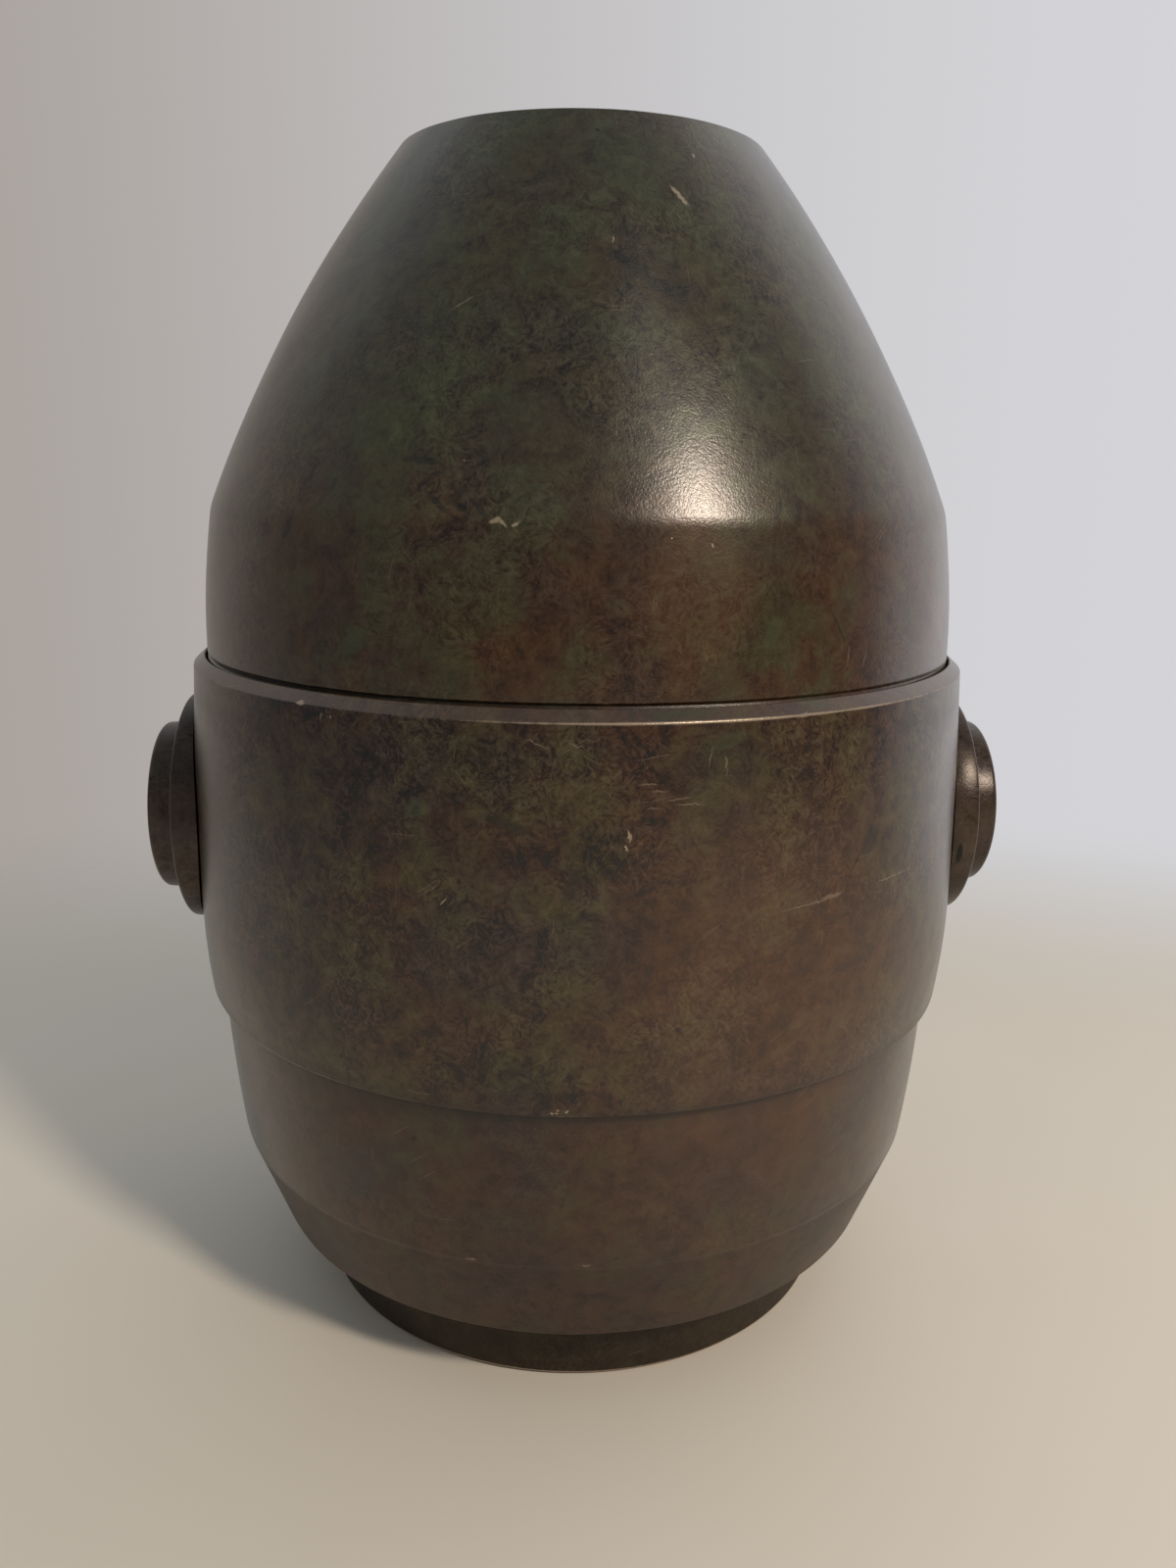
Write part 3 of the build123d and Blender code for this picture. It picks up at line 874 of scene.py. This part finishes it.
def pressed_in(azimuth, places, normals, dents):
    """Moves a turned wall along its radius by d(azimuth, height), the sum of sine waves and of bell-shaped
    dents, all inward. A normal leans by its outward part times the slopes of d."""
    radius = np.hypot(places[..., 0], places[..., 1])
    height = places[..., 2]
    depth, slope_round, slope_up = 0 * radius, 0 * radius, 0 * radius
    for round_waves, up_waves, phase, deep in WAVES:
        angle = round_waves * azimuth + up_waves * height + phase
        depth += deep * (np.sin(angle) - 1)
        slope_round += deep * round_waves * np.cos(angle)
        slope_up += deep * up_waves * np.cos(angle)
    for dent_azimuth, level, half_width, half_height, deep in dents:
        across = (azimuth - math.radians(dent_azimuth)) * radius / half_width
        up = (height - level) / half_height
        dip = deep * np.exp(-(across**2) - up**2)
        depth -= dip
        slope_round += 2 * dip * across * radius / half_width
        slope_up += 2 * dip * up / half_height
    outward = around_z(1.0, 0 * azimuth, azimuth)
    sideways = around_z(1.0, 0 * azimuth, azimuth + math.pi / 2)
    facing = (normals * outward).sum(-1, keepdims=True)
    slope_round = slope_round / np.maximum(radius, 1.0)
    lean = slope_round[..., None] * sideways + slope_up[..., None] * np.array([0.0, 0.0, 1.0])
    return places + depth[..., None] * outward, unit(normals - facing * lean)


# Where an edge is rubbed most, as azimuth and width in degrees: on the rim, and on the drum's lower lip
RIM_WEAR = (15.0, 17.0)
LIP_WEAR = (-48.0, 24.0)


def bell(azimuth, middle, width):
    """1 at the middle azimuth, fading as a bell curve over the width, both in degrees."""
    return np.exp(-(((azimuth - math.radians(middle)) / math.radians(width)) ** 2))


def finish_body(profile, azimuth, places, normals, edge, hollow):
    """Wear along the edges is strongest at the front right, comes back round the rest in slow waves, is faint
    along the bevel's top, and lies to the left along the drum's lower lip."""
    waves = 0.5 + 0.3 * np.sin(3 * azimuth + 0.7) + 0.2 * np.sin(7 * azimuth + 2.1)
    rubbed = 0.3 + 0.4 * waves + 0.75 * bell(azimuth, *RIM_WEAR)
    rubbed = np.where(places[..., 2] < (BEVEL_FOOT + RIM_LEVEL) / 2, rubbed, 0.3 * rubbed)
    below = places[..., 2] < BELLY_LEVEL
    rubbed = np.where(below, 0.25 + 0.3 * waves + 0.5 * bell(azimuth, *LIP_WEAR), rubbed)
    edge = np.where(below, np.sqrt(edge), edge)
    places, normals = pressed_in(azimuth, places, normals, ())
    return places, normals, edge * rubbed, hollow


def make_casting(name, corners, inside_from, shade_reach, patina, shape):
    """A large shell with a map, patinated outside and bare on the walls from run inside_from on."""
    profile = Profile(corners, shade_reach)
    bare = np.arange(len(corners)) >= inside_from
    finishes = (patina, bare_bronze)
    casting = turn_piece(name, profile, CASTING_COLUMNS, finishes, finish_of_run=bare, shape=shape)
    lay_map(casting, profile, CASTING_COLUMNS, inside_from)
    return casting


body_casting = make_casting(
    "body_casting", BODY_CORNERS, BODY_INSIDE_FROM, BODY_SHADE_REACH, drum_patina, finish_body
)
finish_piece(body_casting, "body", "lower_body")

# Upper casting: skirt, quirk, side and ogive outside, then the mouth and the same shape inside
SIDE_CHORD = math.hypot(SKIRT_RADIUS - SHOULDER_RADIUS, SHOULDER_LEVEL - QUIRK_TOP)
SIDE_BOW = SIDE_CHORD**2 / (8 * SIDE_ARC_RADIUS)
INNER_SIDE_BOW = (INNER_SHOULDER_LEVEL - RIM_LEVEL) ** 2 / (8 * (SIDE_ARC_RADIUS - UPPER_WALL))
UPPER_CORNERS = (
    (SKIRT_RADIUS, LEDGE_LEVEL, 0.3),
    (SKIRT_RADIUS, QUIRK_FOOT, 0.15),
    (SKIRT_RADIUS - QUIRK_DEPTH, QUIRK_LEVEL, 0.15),
    (SKIRT_RADIUS, QUIRK_TOP, 0.3, SIDE_BOW),
    (SHOULDER_RADIUS, SHOULDER_LEVEL, SHOULDER_ROUND, OGIVE_BOW),
    (MOUTH_RADIUS, MOUTH_LEVEL, 0.6),
    (MOUTH_BORE, MOUTH_LEVEL, 0.6, -INNER_OGIVE_BOW),
    (INNER_SHOULDER_RADIUS, INNER_SHOULDER_LEVEL, SHOULDER_ROUND - UPPER_WALL, -INNER_SIDE_BOW),
    (SKIRT_RADIUS - UPPER_WALL, RIM_LEVEL, 0.0),
    (SKIRT_RADIUS - UPPER_WALL, LEDGE_LEVEL, 0.3),
)
UPPER_INSIDE_FROM = 6
# The painted shade in the quirk reaches only across its groove
QUIRK_SHADE_REACH = 0.55
QUIRK_RUNS = (1, 2)


def finish_upper(profile, azimuth, places, normals, edge, hollow):
    """The quirk is deeper on the left than on the right, and so is the painted shade in it; both fade out
    there with the azimuth's sine."""
    deeper = np.maximum(0.65 - 0.6 * np.sin(azimuth), 0.1)
    quirk = np.isin(profile.owner, QUIRK_RUNS)[:, None] & (places[..., 2] < QUIRK_TOP)
    radius = np.hypot(places[..., 0], places[..., 1])
    share = np.where(quirk, (SKIRT_RADIUS - (SKIRT_RADIUS - radius) * deeper) / radius, 1.0)
    places, normals = places.copy(), normals.copy()
    places[..., :2] *= share[..., None]
    normals[..., 2] *= np.where(quirk, deeper, 1.0)
    places, normals = pressed_in(azimuth, places, normals, DENTS)
    return places, normals, edge, hollow * np.minimum(deeper, 1.0)


upper_casting = make_casting(
    "upper_casting", UPPER_CORNERS, UPPER_INSIDE_FROM, QUIRK_SHADE_REACH, ogive_patina, finish_upper
)
finish_piece(upper_casting, "upper", "upper_section")

# Foot ring and the plate over the core hole
FOOT_CORNERS = (
    (FOOT_RADIUS - FOOT_CHAMFER, 0.0, 0.15),
    (FOOT_RADIUS, FOOT_CHAMFER, 0.3),
    (FOOT_RADIUS, FOOT_TOP, 0.2),
    (FOOT_BORE, FOOT_TOP, 0.2),
    (FOOT_BORE, FOOT_CHAMFER, 0.3),
    (FOOT_BORE + FOOT_CHAMFER, 0.0, 0.15),
)
turned_foot = turn_piece("turned_foot", Profile(FOOT_CORNERS), FOOT_COLUMNS, (foot_patina,))
finish_piece(turned_foot, "body", "foot_ring")

PLATE_CORNERS = (
    (0.0, SPIGOT_FOOT, 0.0),
    (PLATE_RADIUS, SPIGOT_FOOT, 0.3),
    (PLATE_RADIUS, FOOT_TOP, 0.3),
    (0.0, FOOT_TOP, 0.0),
)
core_plate = turn_piece("core_plate", Profile(PLATE_CORNERS), PLATE_COLUMNS, (bare_bronze,))
finish_piece(core_plate, "body", "base_plate")

# Lugs: nominal profiles, whose one side is then laid on the drum's wall
DISC_NOMINAL = 4.0
DISC_BACK = 0.25
DISC_FRONT = 1.5
ROVE_NOMINAL = 2.0
ROVE_EDGE = 0.3
DRUM_NARROWING = BELLY_RADIUS - RIM_RADIUS
DRUM_ARC_RADIUS = ((BEVEL_FOOT - BELLY_LEVEL) ** 2 + DRUM_NARROWING**2) / (2 * DRUM_NARROWING)


def wall_at(places, wall_radius):
    """Distance from the vessel's axis plane to the wall, at each place's offset y and height z from the lug's
    axis, and its slopes along y and z. It is the root of R squared minus y squared, where R follows the
    drum's upright arc."""
    y, z = places[..., 1], places[..., 2]
    drop = LUG_LEVEL + z - BELLY_LEVEL
    lean = np.sqrt(DRUM_ARC_RADIUS**2 - drop**2)
    level = math.sqrt(DRUM_ARC_RADIUS**2 - (LUG_LEVEL - BELLY_LEVEL) ** 2)
    radius = wall_radius + lean - level
    wall = np.sqrt(radius**2 - y**2)
    return wall, -y / wall, radius * (-drop / lean) / wall


def saddled(side, wall_radius, low, high, nominal, face, wall_is_low):
    """Returns a shape that lays a nominal washer on the wall: heights up to low or above high keep their
    distance from the wall or from the flat face, and those between are shared out. Normals lean with the wall
    by the same share. Edges against the wall aren't worn."""

    def shape(profile, azimuth, places, normals, edge, hollow):
        height = profile.place[:, 1:] + 0 * azimuth
        wall, slope_y, slope_z = wall_at(places, wall_radius)
        flat_share = np.clip((height - low) / (high - low), 0, 1)
        over_low = np.minimum(height, low)
        under_high = np.minimum(nominal - height, nominal - high)
        if wall_is_low:
            on_low, on_high, wall_share = wall + over_low, face - under_high, 1 - flat_share
        else:
            on_low, on_high, wall_share = face + over_low, wall - under_high, flat_share
        places, normals = places.copy(), normals.copy()
        places[..., 0] = side * ((1 - flat_share) * on_low + flat_share * on_high)
        out = side * normals[..., 0] * wall_share
        normals[..., 1] -= out * slope_y
        normals[..., 2] -= out * slope_z
        return places, unit(normals), edge * (1 - wall_share), hollow

    return shape


RIM_CROWN = 0.22
DISC_CORNERS = (
    (DISC_RADIUS - RIM_CROWN, 0.0, 0.2, RIM_CROWN),
    (DISC_RADIUS - RIM_CROWN, DISC_NOMINAL, DISC_ROUND),
    (SHANK_HOLE, DISC_NOMINAL, 0.15),
    (SHANK_HOLE, 0.0, 0.1),
)
BOSS_CORNERS = (
    (0.0, PEEN_END, 0.0),
    (PEEN_RADIUS, PEEN_END, 1.6),
    (PEEN_RADIUS, ROVE_FACE, 0.2),
    (SHANK_RADIUS, ROVE_FACE, 0.1),
    (SHANK_RADIUS, DISC_FACE, 0.1),
    (BOSS_RADIUS - RIM_CROWN, DISC_FACE, 0.25, RIM_CROWN),
    (BOSS_RADIUS - RIM_CROWN, BOSS_FACE, BOSS_ROUND),
    (0.0, BOSS_FACE, 0.0),
)
ROVE_CORNERS = (
    (ROVE_RADIUS, 0.0, 0.3),
    (ROVE_RADIUS, ROVE_NOMINAL, 0.2),
    (SHANK_HOLE, ROVE_NOMINAL, 0.1),
    (SHANK_HOLE, 0.0, 0.1),
)
LUG_CENTRE = (0.0, 0.0, LUG_LEVEL)
OUTER_SEAT = SIDE_RADIUS_AT_LUG + SEAT_GAP
INNER_SEAT = SIDE_RADIUS_AT_LUG - BODY_WALL - SEAT_GAP
for name, side in (("left", -1), ("right", 1)):
    on_wall = saddled(side, OUTER_SEAT, DISC_BACK, DISC_NOMINAL - DISC_FRONT, DISC_NOMINAL, DISC_FACE, True)
    in_bore = saddled(side, INNER_SEAT, ROVE_EDGE, ROVE_NOMINAL - ROVE_EDGE, ROVE_NOMINAL, ROVE_FACE, False)
    for piece_name, node, corners, columns, finish, slot, shape in (
        ("back_disc", "lug_disc", DISC_CORNERS, DISC_COLUMNS, lug_patina, "lug_patina", on_wall),
        ("boss", "lug_boss", BOSS_CORNERS, BOSS_COLUMNS, lug_patina, "lug_patina", None),
        ("rove", "lug_rove", ROVE_CORNERS, ROVE_COLUMNS, bare_bronze, "bare_bronze", in_bore),
    ):
        lug_piece = turn_piece(
            f"{name}_{piece_name}", Profile(corners), columns, (finish,), around_lug(side), LUG_CENTRE,
            shape=shape,
        )
        finish_piece(lug_piece, "body", f"{name}_{node}")

# Camera: its place over the table, its lean down, its roll, and the vessel's own turn to the left
CAMERA_BACK = 283.87
CAMERA_HEIGHT = 185.87
CAMERA_ASIDE = -2.67
CAMERA_LEAN = 0.2469
CAMERA_ROLL = 0.0111
VESSEL_TURN = math.radians(3.63)
CAMERA_LENS = 28.28
CAMERA_SENSOR = 36.0
CAMERA_NEAR = 10.0


def make_camera():
    """The camera at the photograph's viewing angle: rolled, leant down from level, set back, and turned with
    its place about the vessel's axis."""
    data = bpy.data.cameras.new("photo_camera")
    data.lens = CAMERA_LENS
    data.sensor_width = CAMERA_SENSOR
    data.clip_start = CAMERA_NEAR * MM
    camera = add_object("photo_camera", data)
    place = Matrix.Translation(Vector((-CAMERA_ASIDE, -CAMERA_BACK, CAMERA_HEIGHT)) * MM)
    lean = Matrix.Rotation(math.pi / 2 - CAMERA_LEAN, 4, "X")
    roll = Matrix.Rotation(CAMERA_ROLL, 4, "Z")
    camera.matrix_world = Matrix.Rotation(-VESSEL_TURN, 4, "Z") @ place @ lean @ roll
    bpy.context.scene.camera = camera


# Studio: a pale table top that fades into the light all round, and one soft window with a tall upper part
FLOOR_HALF = 2500.0
FLOOR_MIDDLE = (0.0, -340.0, 0.0)
FLOOR_FADE = (480.0, 770.0)
FLOOR_TONES = (shade(236, 227, 213), shade(240, 232, 220))
FLOOR_TONE_SIZE = 60.0
FLOOR_ROUGHNESS = 0.55


def make_floor():
    """A flat square table top whose surface turns clear between two distances from a point in front of the
    vessel."""
    sides = (-FLOOR_HALF * MM, FLOOR_HALF * MM)
    mesh = bpy.data.meshes.new("table_top")
    mesh.from_pydata([(x, y, 0.0) for y in sides for x in sides], [], [(0, 1, 3, 2)])
    material, w, surface, place = new_material("pale_table")
    tone = w.mix(w.noise(place, FLOOR_TONE_SIZE, 3.0), *FLOOR_TONES)
    w.fill(surface, {"Base Color": tone, "Roughness": FLOOR_ROUGHNESS})
    far = w.node("ShaderNodeVectorMath", {0: place, 1: FLOOR_MIDDLE}, operation="DISTANCE").outputs["Value"]
    clear = w.node("ShaderNodeBsdfTransparent", {})
    shaders = {0: w.ease(far, *FLOOR_FADE), 1: surface.outputs[0], 2: clear.outputs[0]}
    both = w.node("ShaderNodeMixShader", shaders)
    w.fill(material.node_tree.nodes["Material Output"], {"Surface": both.outputs[0]})
    mesh.materials.append(material)
    floor = add_object("table_top", mesh)


# Light from all round: a pale backdrop behind the vessel, a dim room in front of it and what is overhead
BACKDROP_LEFT = shade(164, 156, 149)
BACKDROP_RIGHT = shade(212, 212, 216)
BACKDROP_HIGH_LEFT = shade(178, 183, 187)
BACKDROP_HIGH_RIGHT = shade(228, 233, 238)
BACKDROP_FAR_RIGHT = shade(244, 240, 240)
ROOM = shade(112, 104, 98)
ROOM_LEFT = shade(120, 123, 124)
ROOM_RIGHT = shade(128, 114, 104)
ROOM_LEVEL = shade(134, 132, 130)
ROOM_HIGH = shade(136, 145, 147)
OVERHEAD = shade(131, 140, 143)


def make_world():
    """Mixes the colours by direction: how far aside of straight ahead it is, how far back and how high."""
    world = bpy.data.worlds.new("studio")
    bpy.context.scene.world = world
    world.use_nodes = True
    w = Wiring(world.node_tree)
    x, y, z = w.parts(w.node("ShaderNodeTexCoord", {}).outputs["Generated"])
    flat = w.math("MAXIMUM", w.hypot(x, y), 0.001)
    aside = w.math("DIVIDE", x, flat)
    right = w.ease(aside, -0.6, 0.5)
    high = w.ease(z, 0.35, 0.7)
    low_right = w.times(right, w.math("SUBTRACT", 1.0, high))
    back = w.ease(w.total(w.math("DIVIDE", y, flat), w.times(low_right, 0.2)), 0.1, 0.5)
    rear = w.mix(right, BACKDROP_LEFT, BACKDROP_RIGHT)
    rear = w.mix(high, rear, w.mix(right, BACKDROP_HIGH_LEFT, BACKDROP_HIGH_RIGHT))
    rear = w.mix(w.ease(aside, 0.5, 0.75), rear, BACKDROP_FAR_RIGHT)
    room = w.mix(w.ease(aside, -0.5, -0.95), ROOM, ROOM_LEFT)
    room = w.mix(w.ease(aside, 0.5, 0.95), room, ROOM_RIGHT)
    room = w.mix(w.ease(z, -0.1, 0.25), room, ROOM_LEVEL)
    room = w.mix(high, room, ROOM_HIGH)
    colour = w.mix(w.ease(z, 0.8, 0.97), w.mix(back, room, rear), OVERHEAD)
    w.fill(world.node_tree.nodes["Background"], {"Color": colour, "Strength": 1.0})


# Lamps, as azimuth and elevation in degrees, distance, width and height in metres, power and colour
LAMPS = {
    "window": (35, 36, 1.0, 0.11, 0.11, 5.4, shade(255, 240, 222)),
    "window_top": (30, 55, 1.0, 0.1, 0.4, 0.2, shade(244, 244, 248)),
}
LAMP_TARGET = Vector((0, 0, 0.13))


def make_lamp(name, azimuth, elevation, distance, width, height, power, colour):
    """A rectangular soft lamp that faces the vessel's middle."""
    data = bpy.data.lights.new(name, "AREA")
    data.shape = "RECTANGLE"
    data.size = width
    data.size_y = height
    data.energy = power
    data.color = colour[:3]
    lamp = add_object(name, data)
    a, e = math.radians(azimuth), math.radians(elevation)
    back = Vector((math.sin(a) * math.cos(e), -math.cos(a) * math.cos(e), math.sin(e)))
    turn = back.to_track_quat("Z", "Y").to_matrix().to_4x4()
    lamp.matrix_world = Matrix.Translation(LAMP_TARGET + distance * back) @ turn


make_camera()
make_floor()
make_world()
for name, settings in LAMPS.items():
    make_lamp(name, *settings)
bpy.context.scene.view_settings.view_transform = "Standard"
